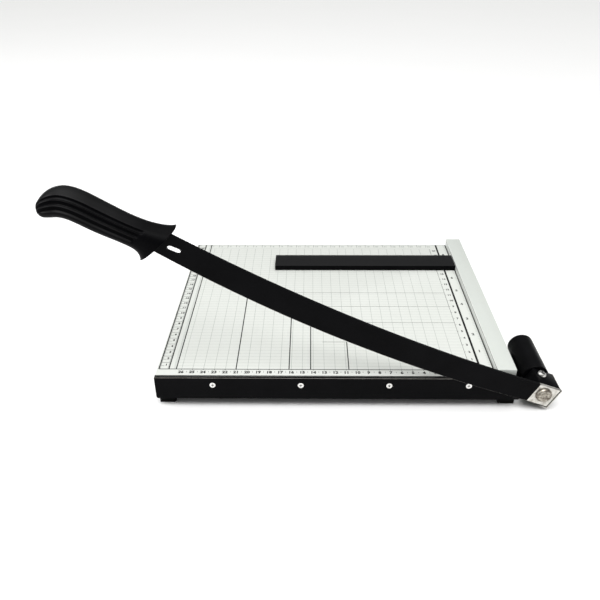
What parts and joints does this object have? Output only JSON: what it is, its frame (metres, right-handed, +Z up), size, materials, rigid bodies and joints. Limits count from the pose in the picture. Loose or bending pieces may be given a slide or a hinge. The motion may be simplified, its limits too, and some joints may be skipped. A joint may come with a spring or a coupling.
{
  "type": "guillotine paper cutter",
  "caption": "Table-top guillotine paper cutter: printed steel table, fence, sliding paper stop and a curved sprung cutting arm with a moulded handle.",
  "frame": {"origin": "middle of the whole cutter's box, on the surface that the feet stand on, with the arm at rest", "axes": "+X along the cutting edge from the handle end to the pivot end, +Y from the cutting edge to the table's far edge, +Z up"},
  "size_m": [0.4336, 0.2874, 0.2146],
  "materials": {
    "table_paint": "pale grey-green baked enamel, printed in grey",
    "fence_paint": "satin pale grey-green paint",
    "black_paint": "satin black powder coat",
    "black_steel": "black-coated steel with ground bright edges",
    "black_plastic": "moulded, soft sheen",
    "rubber": "moulded black rubber",
    "bright_steel": "bright zinc or nickel plate",
    "spring_steel": "oiled spring steel",
    "bronze": "sintered bearing bronze",
    "magnet": "flexible bonded magnet"
  },
  "bodies": {
    "base": {"base_tray": "table_paint", "fixed_blade": "black_steel", "fence": "fence_paint", "hinge_housing": "black_paint", "housing_cap": "black_plastic", "front_bush": "bronze", "rear_bush": "bronze", "torsion_spring": "spring_steel", "blade_screw_1": "bright_steel", "blade_screw_2": "bright_steel", "blade_screw_3": "bright_steel", "blade_screw_4": "bright_steel", "blade_nut_1": "bright_steel", "blade_nut_2": "bright_steel", "blade_nut_3": "bright_steel", "blade_nut_4": "bright_steel", "fence_screw_1": "bright_steel", "fence_screw_2": "bright_steel", "fence_screw_3": "bright_steel", "housing_screw_1": "bright_steel", "housing_screw_2": "bright_steel", "housing_nut_1": "bright_steel", "housing_nut_2": "bright_steel", "foot_1": "rubber", "foot_2": "rubber", "foot_3": "rubber", "foot_4": "rubber", "foot_screw_1": "bright_steel", "foot_screw_2": "bright_steel", "foot_screw_3": "bright_steel", "foot_screw_4": "bright_steel"},
    "arm": {"blade_arm": "black_steel", "hub_block": "black_paint", "hub_screw": "bright_steel", "pivot_shaft": "bright_steel", "spring_collar": "spring_steel", "shaft_washer": "bright_steel", "shaft_nut": "bright_steel", "handle_grip": "black_plastic", "handle_screw_1": "bright_steel", "handle_screw_2": "bright_steel"},
    "stop": {"stop_bar": "black_paint", "stop_magnet_1": "magnet", "stop_magnet_2": "magnet"}
  },
  "joints": [
    {"name": "arm_hinge", "type": "hinge", "parent": "base", "child": "arm", "pos_m": [0.2005, -0.12925, 0.0183], "axis": [0, 1, 0], "range_deg": [-21.5, 38], "stiffness_Nm_per_rad": 0.5, "springref_deg": 57.3},
    {"name": "stop_slide", "type": "slide", "parent": "base", "child": "stop", "axis": [0, 1, 0], "range_m": [-0.19, 0.038]}
  ]
}
